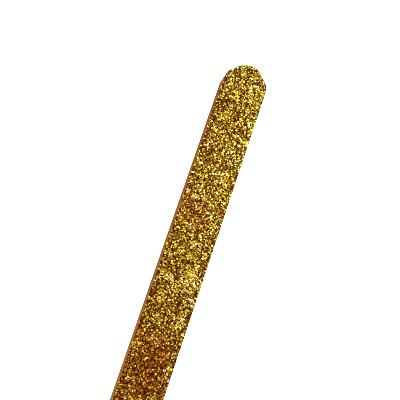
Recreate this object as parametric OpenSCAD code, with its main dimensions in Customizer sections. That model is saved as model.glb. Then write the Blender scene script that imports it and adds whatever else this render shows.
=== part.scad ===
// Flat rhythmic ribbon wand. A varnished wooden lath is faced with gold glitter sheet on its
// front and back, and its edges are left plain. A riveted ferrule at the other end holds a
// swivel, a link ring and a snap hook, which takes the ribbon's eyelet.
// The wand lies on its back: the round butt points to +X, the hook to -X and the front faces +Z.
// The origin is at the middle of the length and the width, on the surface the wand lies on.

/* [Stick] */
// Length of the stick, from its round butt to the face of its ferrule
stick_l = 500; // [300:10:560]
// Width of the stick
stick_w = 10; // [10:0.5:12]
// Thickness of the wooden lath
lath_t = 4.4; // [4.4:0.1:5]
// Thickness of each glitter sheet
sheet_t = 0.3; // [0.2:0.05:0.45]
// Depth of the flat trimmed off each shoulder of the round butt
shoulder_trim = 0.35; // [0:0.05:0.8]
// Angle of those flats, measured round the butt from the stick's axis
shoulder_angle = 45; // [30:5:60]

/* [Ferrule] */
// Length of the ferrule
ferrule_l = 30; // [26:1:45]
// Thickness of the ferrule's wall
ferrule_wall = 0.5; // [0.5:0.05:0.7]
// Radius of the ferrule's rounded long edges
ferrule_edge_r = 0.6; // [0.3:0.05:0.8]
// Length of the solid plug in the ferrule's end
plug_l = 7; // [6.5:0.5:10]
// Radius of the rivets' shanks
rivet_r = 0.8; // [0.6:0.1:1]
// Radius of the two pins that hold the plug
plug_pin_r = 0.6; // [0.4:0.05:0.7]

/* [Swivels] */
// Radius of the shafts that turn
shaft_r = 0.9; // [0.8:0.05:0.95]
// Radial gap around a shaft that turns
running_gap = 0.05; // [0.03:0.01:0.08]
// Wall of the bush that the ferrule's swivel turns in
bush_wall = 0.45; // [0.35:0.05:0.5]
// Radius of the wire that each swivel's eye is made of
eye_wire_r = 0.75; // [0.7:0.05:0.8]
// Radius of the hole in each swivel's eye
eye_hole_r = 0.85; // [0.75:0.05:0.9]

/* [Link ring] */
// Radius of the ring's wire
ring_wire_r = 0.5; // [0.4:0.05:0.55]
// Radius of the ring, to the middle of its wire
ring_r = 4.2; // [4:0.1:6]
// Gap of the ring's closed joint
ring_joint = 0.12; // [0.05:0.01:0.3]

/* [Snap hook] */
// Width of the hook
hook_w = 12; // [11.5:0.5:14]
// Length of the hook's frame
hook_l = 22; // [20:1:30]
// Thickness of the hook's frame
hook_t = 3.4; // [3.2:0.1:3.8]
// Width of the bar that the frame is made of
bar_w = 2.4; // [2.2:0.1:2.6]
// Radius of the rounded edges of the frame and the gate
hook_edge_r = 0.6; // [0.3:0.05:0.8]
// Radius of the barrel that the hook turns on
barrel_r = 2.6; // [2.3:0.05:2.65]
// Radius of the gate's pin
gate_pin_r = 0.5; // [0.4:0.05:0.55]
// Radius of the gate spring's wire
spring_wire_r = 0.12; // [0.1:0.01:0.13]

/* [Hidden] */
$fn = 72;

// Heights above the surface that the wand lies on
ferrule_t = lath_t + 2 * ferrule_wall;
ferrule_w = stick_w + 2 * ferrule_wall;
axis_z = ferrule_t / 2;

// The swivel, measured outward from the ferrule's face along the wand's axis
cut = 1;
play = 0.1;
nose_l = 1;
nose_r = 2.1;
flange_t = 0.4;
flange_r = 1.9;
cavity_l = 2.4;
cavity_r = 1.75;
shoulder_t = 0.6;
shoulder_r = 1.5;
washer_t = 0.3;
washer_r = 1.6;
head_t = 0.8;
head_r = 1.4;
overlap = 0.2;
bore_r = shaft_r + running_gap;
bush_r = bore_r + bush_wall;
eye_r = eye_hole_r + eye_wire_r;
eye_reach = eye_r + eye_wire_r - overlap;
cavity_floor = cavity_l - plug_l;
washer_x = cavity_floor - play / 2 - washer_t;
head_x = washer_x - play / 2 - head_t;
shoulder_x = nose_l + flange_t + play;
eye_x = shoulder_x + shoulder_t + eye_reach;

// The ring and the snap hook, measured the same way
ring_x = eye_x + ring_r;
snap_eye_x = ring_x + ring_r;
snap_shoulder_x = snap_eye_x + eye_reach;
barrel_x = snap_shoulder_x + shoulder_t + play;
barrel_proud = 1;
frame_x = barrel_x + barrel_proud;
seat_x = frame_x + bar_w;
frame_r = hook_w / 2;
near_x = frame_x + frame_r;
far_x = frame_x + hook_l - frame_r;
reach = frame_x + hook_l;
head_room = 0.4;
head_room_r = head_r + head_room;
head_room_l = 2.2;

// The gate, measured from its hinge with +x to the hook's nose and +y into the hook
hinge_y = bar_w / 2 - frame_r;
slot_t = 2;
slot_gap = 0.05;
knuckle_t = 1;
knuckle_z = -slot_t / 2 + slot_gap;
knuckle_r = bar_w / 2;
gate_gap = 0.15;
gate_t = hook_t - 2 * gate_gap;
lip_in = 1;
lip_x = far_x - near_x - lip_in;
lip_l = 1.5;
lip_gap = 0.3;

// The gate's spring, coiled on the gate's pin above the knuckle
coil_gap = 0.13;
turn_gap = 0.03;
foot_gap = 0.09;
spring_r = gate_pin_r + coil_gap + spring_wire_r;
spring_turns = 2;
spring_pitch = 2 * spring_wire_r + turn_gap;
spring_z = knuckle_z + knuckle_t + foot_gap + spring_wire_r;
spring_leg = 0.95;
spring_steps = 20;
spring_sides = 8;

// Places along the wand
total_l = stick_l + reach;
butt_x = total_l / 2;
face_x = butt_x - stick_l;
butt_centre_x = butt_x - stick_w / 2;

// Rivet and pin places inside the ferrule, measured in from its face
rivet_margin = 6;
rivet_flare = 0.7;
outer_rivet_in = plug_l + rivet_margin;
inner_rivet_in = ferrule_l - rivet_margin;
rivet_head_r = rivet_r + rivet_flare;
plug_pin_in = 3.2;
plug_pin_y = 3.3;

// Moves its children to the ferrule's face, with +x outward along the axis
module outward() {
    translate([face_x, 0, axis_z]) mirror([1, 0, 0]) children();
}

// A round bar along x
module rod(from_x, to_x, r) {
    translate([from_x, 0, 0]) rotate([0, 90, 0]) cylinder(h = to_x - from_x, r = r);
}

// A round eye that stands upright at a place along x
module eye(at_x) {
    translate([at_x, 0, 0]) rotate([90, 0, 0])
        rotate_extrude() translate([eye_r, 0]) circle(r = eye_wire_r);
}

// A bar's section, w wide and t high, with corners rounded to a radius
module rounded_section(w, t, r) {
    corner_x = w / 2 - r;
    corner_y = t / 2 - r;
    square([w, 2 * corner_y], center = true);
    square([2 * corner_x, t], center = true);
    for (x = [-corner_x, corner_x], y = [-corner_y, corner_y])
        translate([x, y]) circle(r = r);
}

// The stick's outline seen from the front
module stick_plan(from_x) {
    difference() {
        union() {
            translate([from_x, -stick_w / 2]) square([butt_centre_x - from_x, stick_w]);
            translate([butt_centre_x, 0]) circle(d = stick_w);
        }
        for (side = [-1, 1])
            translate([butt_centre_x, 0]) rotate(side * shoulder_angle)
                translate([stick_w / 2 - shoulder_trim, -stick_w / 2]) square(stick_w);
    }
}

// A rivet with a flush countersunk head on each side of the ferrule
module rivet(in_x) {
    translate([face_x + in_x, 0, 0]) {
        cylinder(h = ferrule_t, r = rivet_r);
        cylinder(h = rivet_flare, r1 = rivet_head_r, r2 = rivet_r);
        translate([0, 0, ferrule_t - rivet_flare])
            cylinder(h = rivet_flare, r1 = rivet_r, r2 = rivet_head_r);
    }
}

// A flush pin through the ferrule and its plug; side is 1 or -1
module plug_pin(side) {
    translate([face_x + plug_pin_in, side * plug_pin_y, 0])
        cylinder(h = ferrule_t, r = plug_pin_r);
}

module lath() {
    color("sienna") difference() {
        translate([0, 0, ferrule_wall]) linear_extrude(lath_t) stick_plan(face_x + plug_l);
        rivet(inner_rivet_in);
        rivet(outer_rivet_in);
    }
}

module front_glitter_sheet() {
    color("gold") translate([0, 0, ferrule_wall + lath_t])
        linear_extrude(sheet_t) stick_plan(face_x + ferrule_l);
}

module back_glitter_sheet() {
    color("goldenrod") translate([0, 0, ferrule_wall - sheet_t])
        linear_extrude(sheet_t) stick_plan(face_x + ferrule_l);
}

module ferrule() {
    color("darkgoldenrod") difference() {
        translate([face_x, 0, axis_z]) rotate([90, 0, 90]) linear_extrude(ferrule_l)
            difference() {
                rounded_section(ferrule_w, ferrule_t, ferrule_edge_r);
                square([stick_w, lath_t], center = true);
            }
        rivet(inner_rivet_in);
        rivet(outer_rivet_in);
        plug_pin(1);
        plug_pin(-1);
    }
}

module inner_rivet() {
    color("silver") rivet(inner_rivet_in);
}

module outer_rivet() {
    color("silver") rivet(outer_rivet_in);
}

module left_plug_pin() {
    color("silver") plug_pin(1);
}

module right_plug_pin() {
    color("silver") plug_pin(-1);
}

module end_plug() {
    color("peru") difference() {
        outward() difference() {
            union() {
                translate([-plug_l, -stick_w / 2, -lath_t / 2])
                    cube([plug_l, stick_w, lath_t]);
                rod(-cut, nose_l, nose_r);
            }
            rod(-plug_l - cut, cavity_floor, cavity_r);
            rod(-plug_l, nose_l + cut, bush_r);
        }
        plug_pin(1);
        plug_pin(-1);
    }
}

module swivel_bush() {
    color("orange") outward() difference() {
        union() {
            rod(cavity_floor, nose_l + flange_t, bush_r);
            rod(nose_l, nose_l + flange_t, flange_r);
        }
        rod(cavity_floor - cut, nose_l + flange_t + cut, bore_r);
    }
}

module swivel_eye() {
    color("lightsteelblue") outward() {
        rod(head_x, head_x + head_t, head_r);
        rod(head_x, eye_x - eye_r, shaft_r);
        rod(shoulder_x, shoulder_x + shoulder_t, shoulder_r);
        eye(eye_x);
    }
}

module thrust_washer() {
    color("khaki") outward() difference() {
        rod(washer_x, washer_x + washer_t, washer_r);
        rod(washer_x - cut, washer_x + washer_t + cut, bore_r);
    }
}

module link_ring() {
    color("silver") outward() translate([ring_x, 0, 0]) difference() {
        rotate_extrude() translate([ring_r, 0]) circle(r = ring_wire_r);
        translate([-ring_joint / 2, 0, -cut]) cube([ring_joint, ring_r + cut, 2 * cut]);
    }
}

module snap_eye() {
    color("lightsteelblue") outward() {
        eye(snap_eye_x);
        rod(snap_shoulder_x, snap_shoulder_x + shoulder_t, shoulder_r);
        rod(snap_eye_x + eye_r, seat_x + play + head_t, shaft_r);
        rod(seat_x + play, seat_x + play + head_t, head_r);
    }
}

// The hook's frame, which is one bar bent into an oblong
module frame() {
    for (side = [-1, 1])
        translate([near_x, side * (frame_r - bar_w / 2), 0]) rotate([90, 0, 90])
            linear_extrude(far_x - near_x) rounded_section(bar_w, hook_t, hook_edge_r);
    translate([near_x, 0, 0]) rotate(90) frame_bend();
    translate([far_x, 0, 0]) rotate(-90) frame_bend();
}

module frame_bend() {
    rotate_extrude(angle = 180) translate([frame_r - bar_w / 2, 0])
        rounded_section(bar_w, hook_t, hook_edge_r);
}

// Moves its children to the gate's hinge
module at_hinge() {
    translate([near_x, hinge_y, 0]) children();
}

// The gap that the gate fills, with a lip left at the nose to stop it from opening outward
module gate_gap_plan() {
    translate([0, -bar_w]) square([lip_x, 2 * bar_w]);
    translate([0, -gate_gap / 2]) square([lip_x + lip_l, bar_w]);
}

module hook_body() {
    color("gainsboro") outward() difference() {
        union() {
            difference() {
                frame();
                at_hinge() linear_extrude(hook_t + cut, center = true) gate_gap_plan();
            }
            rod(barrel_x, seat_x, barrel_r);
            at_hinge() cylinder(h = hook_t, r = knuckle_r, center = true);
        }
        rod(barrel_x - cut, seat_x + cut, bore_r);
        rod(seat_x, seat_x + head_room_l, head_room_r);
        at_hinge() cylinder(h = slot_t, r = knuckle_r + gate_gap, center = true);
        at_hinge() cylinder(h = hook_t + cut, r = gate_pin_r, center = true);
    }
}

module gate() {
    color("lightgray") outward() at_hinge() difference() {
        union() {
            difference() {
                rotate([90, 0, 90]) linear_extrude(lip_x + lip_l - lip_gap)
                    rounded_section(bar_w, gate_t, hook_edge_r);
                translate([lip_x - lip_gap, -bar_w, -gate_t])
                    cube([lip_l + cut, bar_w + gate_gap / 2, 2 * gate_t]);
                cylinder(h = hook_t, r = knuckle_r + gate_gap, center = true);
            }
            translate([0, 0, knuckle_z]) cylinder(h = knuckle_t, r = knuckle_r);
            translate([0, -knuckle_r / 2, knuckle_z])
                cube([knuckle_r + 2 * gate_gap, knuckle_r, knuckle_t]);
        }
        cylinder(h = hook_t, r = gate_pin_r + running_gap, center = true);
    }
}

module gate_pin() {
    color("dimgray") outward() at_hinge()
        cylinder(h = hook_t, r = gate_pin_r, center = true);
}

// Ring of points around the spring's wire where it stands at an angle round the pin,
// moved on along the wire's own direction by a length
function spring_ring(angle, on, z) = [
    for (side = [0 : spring_sides - 1])
        let (
            turn = 360 * side / spring_sides,
            r = spring_r + spring_wire_r * cos(turn)
        )
        [
            r * cos(angle) - on * sin(angle),
            r * sin(angle) + on * cos(angle),
            z + spring_wire_r * sin(turn)
        ]
];

module gate_spring() {
    step = 360 / spring_steps;
    rings = concat(
        [spring_ring(-90, -spring_leg, spring_z)],
        [
            for (i = [0 : spring_turns * spring_steps])
                spring_ring(i * step - 90, 0, spring_z + spring_pitch * i / spring_steps)
        ],
        [spring_ring(-90, spring_leg, spring_z + spring_pitch * spring_turns)]
    );
    last = len(rings) - 1;
    faces = concat(
        [[for (side = [0 : spring_sides - 1]) side]],
        [
            for (i = [0 : last - 1], side = [0 : spring_sides - 1])
                let (next = (side + 1) % spring_sides, a = i * spring_sides)
                [a + side, a + spring_sides + side, a + spring_sides + next, a + next]
        ],
        [[for (side = [spring_sides - 1 : -1 : 0]) last * spring_sides + side]]
    );
    points = [for (ring = rings) each ring];
    color("slategray") outward() at_hinge() polyhedron(points = points, faces = faces);
}

lath();
front_glitter_sheet();
back_glitter_sheet();
ferrule();
inner_rivet();
outer_rivet();
end_plug();
left_plug_pin();
right_plug_pin();
swivel_bush();
swivel_eye();
thrust_washer();
link_ring();
snap_eye();
hook_body();
gate();
gate_pin();
gate_spring();
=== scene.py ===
"""Looks of the flat gold-glitter ribbon wand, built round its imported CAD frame.

The wand lies on its back with its underside at z = 0: round butt at +X, snap hook at -X, front
face up. Lengths are metres.
"""

import math

import bpy
import numpy as np
from mathutils import Matrix, Vector, noise


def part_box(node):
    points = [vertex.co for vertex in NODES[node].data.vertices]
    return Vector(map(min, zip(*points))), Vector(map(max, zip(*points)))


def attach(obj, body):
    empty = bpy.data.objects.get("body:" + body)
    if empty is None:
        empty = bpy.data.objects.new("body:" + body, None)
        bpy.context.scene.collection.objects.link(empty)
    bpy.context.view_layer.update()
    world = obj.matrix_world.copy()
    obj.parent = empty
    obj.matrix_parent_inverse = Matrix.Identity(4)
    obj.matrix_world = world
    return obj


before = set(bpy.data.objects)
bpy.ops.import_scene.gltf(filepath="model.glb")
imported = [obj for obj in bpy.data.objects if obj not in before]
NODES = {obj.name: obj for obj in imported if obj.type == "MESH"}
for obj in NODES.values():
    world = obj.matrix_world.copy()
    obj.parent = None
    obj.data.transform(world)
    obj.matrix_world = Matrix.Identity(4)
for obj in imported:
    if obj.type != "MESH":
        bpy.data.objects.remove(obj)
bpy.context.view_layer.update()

MM = 0.001
FRONT_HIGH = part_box("front_glitter_sheet")[1]
BUTT_X = FRONT_HIGH.x
FRONT_Z = FRONT_HIGH.z
WHITE = (1.0, 1.0, 1.0)

# ---------------------------------------------------------------- camera

CAMERA_LENS = 80.0
CAMERA_CLIP = 10 * MM
CAMERA_DISTANCE = 192.0 * MM
TARGET_IN_FROM_BUTT = 33.2 * MM
TARGET_ACROSS = 1.21 * MM
CAMERA_TILT = 13.76  # degrees from overhead, toward the hook
CAMERA_SIDE = 6.76  # degrees from overhead, toward +Y, which shows that side wall
CAMERA_ROLL = 18.85  # degrees that the wand leans to the right in the picture


def make_camera():
    """The close view of the butt end, with the wand running off the lower left."""
    tilt, side = math.radians(CAMERA_TILT), math.radians(CAMERA_SIDE)
    target = Vector((BUTT_X - TARGET_IN_FROM_BUTT, TARGET_ACROSS, FRONT_Z))
    back = Vector(
        (-math.sin(tilt) * math.cos(side), math.sin(side), math.cos(tilt) * math.cos(side))
    )
    right = Vector((1, 0, 0)).cross(back).normalized()
    up = back.cross(right)
    turn = Matrix.Rotation(math.radians(CAMERA_ROLL), 3, back)
    right, up = turn @ right, turn @ up
    data = bpy.data.cameras.new("camera")
    data.lens = CAMERA_LENS
    data.clip_start = CAMERA_CLIP
    camera = bpy.data.objects.new("camera", data)
    axes = Matrix((right, up, back)).transposed()
    camera.matrix_world = Matrix.Translation(target + back * CAMERA_DISTANCE) @ axes.to_4x4()
    bpy.context.scene.collection.objects.link(camera)
    bpy.context.scene.camera = camera


# ---------------------------------------------------------------- material building


def set_stops(ramp_node, stops):
    """Gives a colour ramp node its (position, colour) stops."""
    elements = ramp_node.color_ramp.elements
    while len(elements) < len(stops):
        elements.new(0.5)
    for element, (position, colour) in zip(elements, stops):
        element.position = position
        element.color = (*colour, 1)


class Recipe:
    """A material's node tree, with short calls that add nodes and join them."""

    def __init__(self, name):
        self.material = bpy.data.materials.new(name)
        self.material.use_nodes = True
        self.tree = self.material.node_tree
        self.shader = self.tree.nodes["Principled BSDF"]

    def add(self, kind, settings=None, **inputs):
        """A node of this kind; inputs are numbers, colours or another node's output."""
        made = self.tree.nodes.new("ShaderNode" + kind)
        for key, value in (settings or {}).items():
            setattr(made, key, value)
        for key, value in inputs.items():
            self.feed(made.inputs[key.replace("_", " ")], value)
        return made

    def feed(self, socket, value):
        """Joins a node's output to the socket, or sets a number or colour on it."""
        if isinstance(value, bpy.types.NodeSocket):
            self.tree.links.new(value, socket)
        else:
            socket.default_value = value

    def set(self, **inputs):
        """Sets the shader's own sockets."""
        for key, value in inputs.items():
            self.feed(self.shader.inputs[key.replace("_", " ")], value)

    def place(self, stretch=(1, 1, 1)):
        """Points in the piece's own space, stretched by a factor along each axis."""
        where = self.add("TexCoord").outputs["Object"]
        return self.add("Mapping", Vector=where, Scale=stretch).outputs["Vector"]

    def clouds(self, frequency, detail):
        """Even noise, with this many swings per metre."""
        made = self.add("TexNoise", Vector=self.place(), Scale=frequency, Detail=detail)
        return made.outputs["Fac"]

    def fibres(self, frequencies, detail):
        """Noise with its own number of swings per metre along x, y and z."""
        where = self.place(frequencies)
        return self.add("TexNoise", Vector=where, Scale=1.0, Detail=detail).outputs["Fac"]

    def ramp(self, value, stops):
        """The colour at this value of a ramp through (position, colour) stops."""
        made = self.add("ValToRGB", Fac=value)
        set_stops(made, stops)
        return made.outputs["Color"]

    def average(self, first, second):
        """The mean of two values."""
        half = self.add("Math", {"operation": "MULTIPLY"})
        self.feed(half.inputs[0], second)
        self.feed(half.inputs[1], 0.5)
        total = self.add("Math", {"operation": "MULTIPLY_ADD"})
        self.feed(total.inputs[0], first)
        self.feed(total.inputs[1], 0.5)
        self.feed(total.inputs[2], half.outputs[0])
        return total.outputs[0]

    def shade(self, colour, tint, depth):
        """The colour multiplied by a tint, to a depth from 0, not at all, to 1, fully."""
        how = {"data_type": "RGBA", "blend_type": "MULTIPLY"}
        return self.add("Mix", how, Factor=depth, A=colour, B=tint).outputs["Result"]

    def spread(self, value, low, high):
        """Maps 0..1 to low..high."""
        return self.add("MapRange", Value=value, To_Min=low, To_Max=high).outputs["Result"]

    def bump(self, height, strength, distance):
        """Raises the surface by the height, through the shader's normal."""
        made = self.add("Bump", Height=height, Strength=strength, Distance=distance)
        self.set(Normal=made.outputs["Normal"])


# Frequencies are in swings per metre along x, y and z: the grain runs along x
WOOD_DRIFT = (18, 260, 260)
WOOD_GRAIN = (55, 2300, 2300)
WOOD_PORES = (420, 7000, 7000)
WOOD_COLOURS = [
    (0.30, (0.150, 0.054, 0.013)),
    (0.50, (0.29, 0.120, 0.029)),
    (0.70, (0.385, 0.175, 0.046)),
]
PORE_TINTS = [(0.30, (0.45, 0.34, 0.25)), (0.42, WHITE)]
WOOD_ROUGHNESS = (0.75, 0.55)
GRAIN_BUMP = (0.25, 0.05 * MM)  # strength and height


def varnished_wood():
    """Straight-grained beech under amber varnish, with fine pores and slow colour drift."""
    r = Recipe("varnished_wood")
    drift = r.fibres(WOOD_DRIFT, detail=3.0)
    grain = r.fibres(WOOD_GRAIN, detail=4.0)
    pores = r.fibres(WOOD_PORES, detail=1.0)
    wood = r.ramp(r.average(drift, grain), WOOD_COLOURS)
    r.set(
        Base_Color=r.shade(wood, r.ramp(pores, PORE_TINTS), depth=1.0),
        Roughness=r.spread(grain, *WOOD_ROUGHNESS),
        Specular_IOR_Level=0.0,
    )
    r.bump(grain, *GRAIN_BUMP)
    return r.material


DUST_FREQUENCY = 6500.0  # specks of dust per metre
DUST_COLOURS = [
    (0.0, (0.030, 0.007, 0.0012)),
    (0.55, (0.085, 0.024, 0.003)),
    (0.85, (0.30, 0.13, 0.018)),
    (1.0, (0.62, 0.36, 0.06)),
]
BINDER_CLOUDS = 260.0
BINDER_TINTS = [(0.35, (0.45, 0.32, 0.25)), (0.65, WHITE)]
BINDER_TINT_DEPTH = 0.7
BINDER_ROUGHNESS = (0.25, 0.5)
DUST_BUMP = (0.5, 0.05 * MM)  # strength and height


def glitter_binder():
    """The dark amber binder that the flakes lie in, with fine gold dust through it."""
    r = Recipe("glitter_binder")
    dust = r.add("TexVoronoi", Vector=r.place(), Scale=DUST_FREQUENCY)
    speck = r.add("SeparateColor", Color=dust.outputs["Color"])
    colour = r.ramp(speck.outputs["Red"], DUST_COLOURS)
    tint = r.ramp(r.clouds(BINDER_CLOUDS, detail=3.0), BINDER_TINTS)
    r.set(
        Base_Color=r.shade(colour, tint, BINDER_TINT_DEPTH),
        Metallic=0.5,
        Roughness=r.spread(speck.outputs["Green"], *BINDER_ROUGHNESS),
        Specular_IOR_Level=0.15,
        Specular_Tint=(0.85, 0.40, 0.10, 1),
    )
    r.bump(dust.outputs["Distance"], *DUST_BUMP)
    return r.material


def flake_material(name, colour, roughness):
    """One tone of metallised film; the darkest tone is partly painted shade. The tones vary from
    flake to flake, not within one.
    """
    r = Recipe("flake_" + name)
    r.set(Base_Color=(*colour, 1), Metallic=1.0, Roughness=roughness)
    return r.material


PATCH_CLOUDS = 170.0
PATCH_LOW, PATCH_HIGH = 0.32, 0.68  # the noise where a metal is fully handled and fully clean
STREAK_FREQUENCY = 0.75  # as a factor of the scratches'
STREAK_TINTS = [(0.35, (0.55, 0.52, 0.50)), (0.60, WHITE)]
STREAK_DEPTH = 0.25
SMOOTHER, ROUGHER = 0.08, 0.10  # how far the roughness strays from its middle value
SCRATCH_BUMP = (0.15, 0.02 * MM)  # strength and height


def metal(name, clean, handled, roughness, scratches):
    """A worked metal, from its colour where clean and where handled, its roughness, and the
    number of its fine scratches per metre along x, y and z."""
    r = Recipe(name)
    brushing = r.fibres(scratches, detail=3.0)
    streaks = r.fibres([STREAK_FREQUENCY * count for count in scratches], detail=2.0)
    patches = r.clouds(PATCH_CLOUDS, detail=6.0)
    colour = r.ramp(patches, [(PATCH_LOW, handled), (PATCH_HIGH, clean)])
    r.set(
        Base_Color=r.shade(colour, r.ramp(streaks, STREAK_TINTS), STREAK_DEPTH),
        Metallic=1.0,
        Roughness=r.spread(brushing, roughness - SMOOTHER, roughness + ROUGHER),
    )
    r.bump(brushing, *SCRATCH_BUMP)
    return r.material


# ---------------------------------------------------------------- glitter flakes

# Each flake tone: name, colour of its metal coat (maroon's is partly painted shade), roughness,
# and share of the flakes. Copper has no share: it takes the place of gold in some patches.
FLAKE_TONES = [
    ("cream", (1.00, 0.86, 0.46), 0.10, 0.04),
    ("pale_gold", (0.94, 0.82, 0.12), 0.12, 0.18),
    ("yellow_gold", (0.78, 0.60, 0.055), 0.14, 0.22),
    ("deep_gold", (0.56, 0.36, 0.022), 0.16, 0.12),
    ("amber", (0.24, 0.080, 0.006), 0.20, 0.15),
    # The darkest tone is partly painted shade: besides dark flakes, it stands for the shade in
    # the gaps between and under the flakes.
    ("maroon_and_painted_shade", (0.085, 0.017, 0.0015), 0.24, 0.29),
    ("copper", (0.58, 0.25, 0.020), 0.18, 0.0),
]
TONE_NAMES = [tone[0] for tone in FLAKE_TONES]
TONE_LIMITS = np.cumsum([tone[3] for tone in FLAKE_TONES])
HIGHEST_PICK = 0.999  # keeps a pick within the tones that have a share
GOLDS = [TONE_NAMES.index(name) for name in ("pale_gold", "yellow_gold", "deep_gold")]
COPPER = TONE_NAMES.index("copper")
# Clumps of like tone: size, and how far each pushes a flake's pick of tone
CLUMPS = [(8.0 * MM, 0.08), (3.4 * MM, 0.115), (1.2 * MM, 0.09)]
CLUMP_SLICE = 33.75  # which slice of the noise the clumps come from, picked by search
# Copper patches: size, noise slice, also picked by search, the noise that they start at, and
# how fast they fill in above it
BLUSH_SIZE = 7.0 * MM
BLUSH_SLICE = 10.5
BLUSH_START = 0.05
BLUSH_STRENGTH = 1.3

FLAKE_PITCH = 0.27 * MM  # spacing of the grid that the flakes are scattered from
SCATTER = 0.6  # farthest that a flake strays from the grid, in pitches
FLAKE_SIDES = 6
FLAKE_RADIUS = 0.195 * MM  # centre to corner of a flake of size 1
FLAKE_SIZES = [0.7, 0.9, 1.0, 1.35]
SIZE_SHARES = [0.2, 0.3, 0.4, 0.1]
SETTLED_TILT, PROUD_TILT = 4.0, 12.0  # spread of the tilt from flat, in degrees
PROUD_SHARE = 0.15
FLAKE_LAYER = 0.10 * MM  # depth that the flakes lie through
LOWEST_FLAKE = 0.02 * MM  # keeps the back's flakes above the wand's underside
BUTT_PLANES = 40  # how many steps the round butt's half circle is taken in
UP, DOWN = 1, -1


def sheet_outline(node):
    """The sheet's outline as inward half planes (normal x, normal y, offset), read from
    its own corners, and the middle of its length."""
    points = np.array([v.co[:2] for v in NODES[node].data.vertices])
    planes = [(0.0, -1.0, points[:, 1].max()), (0.0, 1.0, -points[:, 1].min())]
    planes.append((1.0, 0.0, -points[:, 0].min()))
    for step in range(1, BUTT_PLANES):
        angle = math.pi * (step / BUTT_PLANES - 0.5)
        way = np.array([math.cos(angle), math.sin(angle)])
        planes.append((-way[0], -way[1], (points @ way).max()))
    return np.array(planes), (points[:, 0].min() + points[:, 0].max()) / 2


def clipped(ring, planes):
    """A convex ring of points cut back to the inside of each half plane."""
    for normal_x, normal_y, offset in planes:
        depth = [normal_x * p[0] + normal_y * p[1] + offset for p in ring]
        if min(depth) >= 0:
            continue
        kept = []
        for i, here in enumerate(ring):
            before, was, now = ring[i - 1], depth[i - 1], depth[i]
            if (was < 0) != (now < 0):
                kept.append(before + (here - before) * (was / (was - now)))
            if now >= 0:
                kept.append(here)
        ring = kept
        if len(ring) < 3:
            return []
    return ring


def flake_tone(spot, pick, blush, shift):
    """The tone of the flake at a spot. Tones clump, and gold turns copper in some patches."""
    x, y = spot
    for size, push in CLUMPS:
        pick += push * noise.noise(Vector((x / size, y / size, CLUMP_SLICE + shift)))
    tone = int(np.searchsorted(TONE_LIMITS, min(max(pick, 0), HIGHEST_PICK)))
    patch = noise.noise(Vector((x / BLUSH_SIZE, y / BLUSH_SIZE, BLUSH_SLICE + shift)))
    patch -= BLUSH_START
    return COPPER if tone in GOLDS and blush < BLUSH_STRENGTH * patch else tone


def flake_corners(node, facing, rng):
    """The spot and the corners of every flake over one face of a glitter sheet."""
    low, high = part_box(node)
    across = int((high.y - low.y) / FLAKE_PITCH)
    along = int((high.x - low.x) / FLAKE_PITCH)
    grid_x, grid_y = np.meshgrid(np.arange(along) + 0.5, np.arange(across) + 0.5)
    spots = np.stack([grid_x.ravel() / along, grid_y.ravel() / across], 1)
    spots = spots * [high.x - low.x, high.y - low.y] + [low.x, low.y]
    count = len(spots)
    spots += rng.uniform(-SCATTER, SCATTER, (count, 2)) * FLAKE_PITCH
    radius = FLAKE_RADIUS * rng.choice(FLAKE_SIZES, count, p=SIZE_SHARES)
    turn = rng.uniform(0, math.tau, count)
    tilt = np.where(rng.random(count) < PROUD_SHARE, PROUD_TILT, SETTLED_TILT)
    slope = np.tan(np.radians(rng.normal(0, 1, (count, 2)) * tilt[:, None]))
    lift = rng.uniform(0.0, FLAKE_LAYER, count)

    angles = np.arange(FLAKE_SIDES) * math.tau / FLAKE_SIDES
    x = radius[:, None] * np.cos(angles[None, :] + turn[:, None])
    y = radius[:, None] * np.sin(angles[None, :] + turn[:, None])
    z = x * slope[:, :1] + y * slope[:, 1:] + lift[:, None]
    z += np.maximum(0.0, -z.min(1))[:, None]
    z = (high.z if facing == UP else low.z) + facing * z
    corners = np.stack([spots[:, :1] + x, spots[:, 1:] + y, z], 2)
    corners[:, :, 2] = np.maximum(corners[:, :, 2], LOWEST_FLAKE)
    return spots, corners


def flake_piece(name, rings, tones):
    """One mesh of loose flat flakes, riding on the stick."""
    points = np.concatenate(rings)
    sizes = np.array([len(ring) for ring in rings])
    mesh = bpy.data.meshes.new(name)
    mesh.vertices.add(len(points))
    mesh.vertices.foreach_set("co", points.ravel())
    mesh.loops.add(len(points))
    mesh.loops.foreach_set("vertex_index", np.arange(len(points)))
    mesh.polygons.add(len(sizes))
    mesh.polygons.foreach_set("loop_start", np.cumsum(sizes) - sizes)
    mesh.polygons.foreach_set("loop_total", sizes)
    mesh.polygons.foreach_set("material_index", np.array(tones))
    mesh.update(calc_edges=True)
    for material in FLAKE_MATERIALS:
        mesh.materials.append(material)
    piece = bpy.data.objects.new(name, mesh)
    bpy.context.scene.collection.objects.link(piece)
    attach(piece, "stick")


def make_flakes(side, facing, seed, shift):
    """The flakes over the outer face of one side's glitter sheet, in two pieces that meet
    halfway along. The shift moves its noise slices away from the other side's."""
    node = f"{side}_glitter_sheet"
    rng = np.random.default_rng(seed)
    spots, corners = flake_corners(node, facing, rng)
    picks, blushes = rng.random((2, len(spots)))
    planes, middle_x = sheet_outline(node)
    inside = (corners[:, :, :2] @ planes[:, :2].T + planes[:, 2]).min((1, 2)) >= 0
    near_hook = spots[:, 0] < middle_x
    for half, chosen in (("hook_half", near_hook), ("butt_half", ~near_hook)):
        rings, tones = [], []
        for i in np.flatnonzero(chosen):
            ring = corners[i] if inside[i] else clipped(list(corners[i]), planes)
            if len(ring) < 3:
                continue
            rings.append(np.array(ring if facing == UP else ring[::-1]))
            tones.append(flake_tone(spots[i], picks[i], blushes[i], shift))
        flake_piece(f"{side}_flakes_{half}", rings, tones)


# ---------------------------------------------------------------- CAD nodes


def finish_node(node, material):
    """Gives a CAD node its material."""
    for slot in NODES[node].material_slots:
        slot.material = material


# ---------------------------------------------------------------- stage and light

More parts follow.
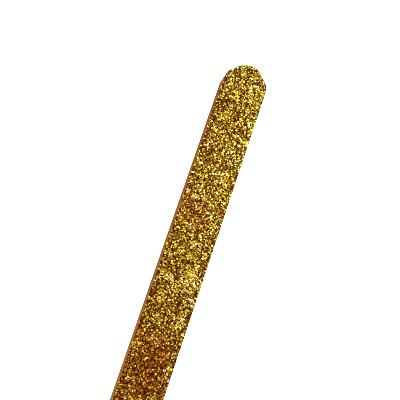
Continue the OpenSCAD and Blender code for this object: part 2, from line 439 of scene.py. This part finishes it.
FLOOR_SIZE = 12.0
FLOOR_DROP = 40.0 * MM  # below the wand, so that its hook can swing down
FLOOR_TONES = [(0.3, (0.90, 0.90, 0.90)), (0.7, (0.93, 0.93, 0.93))]
FLOOR_CLOUDS = 9.0
FLOOR_GLOW = 0.75
# Softboxes: name, then the centre's distance along the wand past the camera's target, across
# it, and up from its underside, then the box's own x and y sizes, colour and radiance. The keys
# and sparks hang over the butt, with the faint warm bounce on the hook's side of them, and all
# of these face straight down.
OVERHEAD_BOXES = [
    ("key_butt", (0.186, 0.00, 0.36), (0.072, 0.60), WHITE, 1.06),
    ("key_middle", (0.020, 0.00, 0.36), (0.072, 0.60), WHITE, 1.14),
    ("bounce", (-0.12, 0.00, 0.36), (0.20, 0.60), (1.0, 0.34, 0.10), 0.16),
    ("spark_left", (0.20, 0.10, 0.36), (0.05, 0.14), WHITE, 4.4),
    ("spark_right", (0.13, -0.11, 0.36), (0.05, 0.14), WHITE, 3.6),
    ("spark_far", (0.32, -0.04, 0.36), (0.05, 0.20), WHITE, 3.6),
]
# The fills stand at the wand's sides and face it, too low for its flat flakes to mirror.
FILL_BOXES = [
    ("fill_left", (-0.20, 1.10, 0.80), (1.60, 0.70), WHITE, 1.6),
    ("fill_right", (-0.20, -1.10, 0.80), (1.60, 0.70), WHITE, 1.6),
]
# The studio's own glow by height: sine of elevation and radiance. It is white at the horizon,
# warm and as bright a third of the way up, and dim and amber overhead, which is what the dark
# amber of the flakes comes from.
STUDIO_GLOW = [
    (0.00, (0.90, 0.90, 0.90)),
    (0.12, (0.82, 0.79, 0.74)),
    (0.55, (0.92, 0.82, 0.66)),
    (0.78, (0.16, 0.10, 0.07)),
    (0.88, (0.14, 0.042, 0.010)),
]


def make_floor():
    """A plain white floor, lit partly by a glow of its own."""
    r = Recipe("white_floor")
    r.set(
        Base_Color=r.ramp(r.clouds(FLOOR_CLOUDS, detail=2.0), FLOOR_TONES),
        Roughness=0.9,
        Emission_Color=(*WHITE, 1),
        Emission_Strength=FLOOR_GLOW,
    )
    mesh = bpy.data.meshes.new("floor")
    half = FLOOR_SIZE / 2
    corners = [(-half, -half), (half, -half), (half, half), (-half, half)]
    mesh.from_pydata([(x, y, -FLOOR_DROP) for x, y in corners], [], [(0, 1, 2, 3)])
    mesh.materials.append(r.material)
    floor = bpy.data.objects.new("floor", mesh)
    bpy.context.scene.collection.objects.link(floor)


def make_softbox(name, place, size, colour, radiance):
    """A rectangular light that faces straight down, placed from under the camera's target."""
    data = bpy.data.lights.new(name, "AREA")
    data.shape = "RECTANGLE"
    data.size, data.size_y = size
    data.color = colour
    data.energy = radiance * math.pi * size[0] * size[1]
    light = bpy.data.objects.new(name, data)
    light.location = Vector((BUTT_X - TARGET_IN_FROM_BUTT, 0, 0)) + Vector(place)
    light.visible_camera = False
    bpy.context.scene.collection.objects.link(light)
    return light


def make_lights():
    """The softboxes over the wand, and the fills that are turned to face it."""
    for box in OVERHEAD_BOXES:
        make_softbox(*box)
    for box in FILL_BOXES:
        light = make_softbox(*box)
        place = Vector(box[1])
        light.rotation_euler = place.to_track_quat("Z", "X").to_euler()


def make_world():
    """The studio's glow, by how high each direction looks."""
    world = bpy.data.worlds.new("studio")
    world.use_nodes = True
    bpy.context.scene.world = world
    tree = world.node_tree
    way = tree.nodes.new("ShaderNodeTexCoord")
    split = tree.nodes.new("ShaderNodeSeparateXYZ")
    glow = tree.nodes.new("ShaderNodeValToRGB")
    set_stops(glow, STUDIO_GLOW)
    tree.links.new(way.outputs["Generated"], split.inputs[0])
    tree.links.new(split.outputs["Z"], glow.inputs["Fac"])
    tree.links.new(glow.outputs["Color"], tree.nodes["Background"].inputs["Color"])


# ---------------------------------------------------------------- the wand

# Metals: colour where clean, colour where handled, roughness, and scratches per metre along
# x, y and z
METALS = {
    "satin_brass": ((0.78, 0.51, 0.16), (0.66, 0.41, 0.12), 0.24, (60, 4200, 4200)),
    "turned_bronze": ((0.62, 0.37, 0.16), (0.46, 0.26, 0.11), 0.32, (4200, 300, 300)),
    "turned_steel": ((0.50, 0.50, 0.50), (0.40, 0.39, 0.38), 0.26, (4200, 300, 300)),
    "nickel_plate": ((0.66, 0.65, 0.62), (0.54, 0.53, 0.50), 0.20, (500, 1800, 1800)),
    "spring_wire": ((0.38, 0.38, 0.39), (0.28, 0.27, 0.26), 0.28, (3000, 3000, 3000)),
}
METAL_NODES = {
    "satin_brass": ["ferrule", "end_plug"],
    "turned_bronze": ["swivel_bush", "thrust_washer"],
    "turned_steel": [
        "inner_rivet",
        "outer_rivet",
        "left_plug_pin",
        "right_plug_pin",
        "gate_pin",
        "swivel_eye",
        "snap_eye",
    ],
    "nickel_plate": ["link_ring", "hook_body", "gate"],
    "spring_wire": ["gate_spring"],
}
FLAKE_MATERIALS = [flake_material(name, colour, rough) for name, colour, rough, _ in FLAKE_TONES]

make_camera()
make_flakes("front", facing=UP, seed=11, shift=0)
make_flakes("back", facing=DOWN, seed=12, shift=60)

binder = glitter_binder()
finish_node("front_glitter_sheet", binder)
finish_node("back_glitter_sheet", binder)
finish_node("lath", varnished_wood())
for name, look in METALS.items():
    material = metal(name, *look)
    for node in METAL_NODES[name]:
        finish_node(node, material)

make_floor()
make_lights()
make_world()
# Plain tones, and no smoothing over of the small flakes
bpy.context.scene.view_settings.view_transform = "Standard"
bpy.context.scene.cycles.use_denoising = False
bpy.context.scene.cycles.filter_width = 1.0
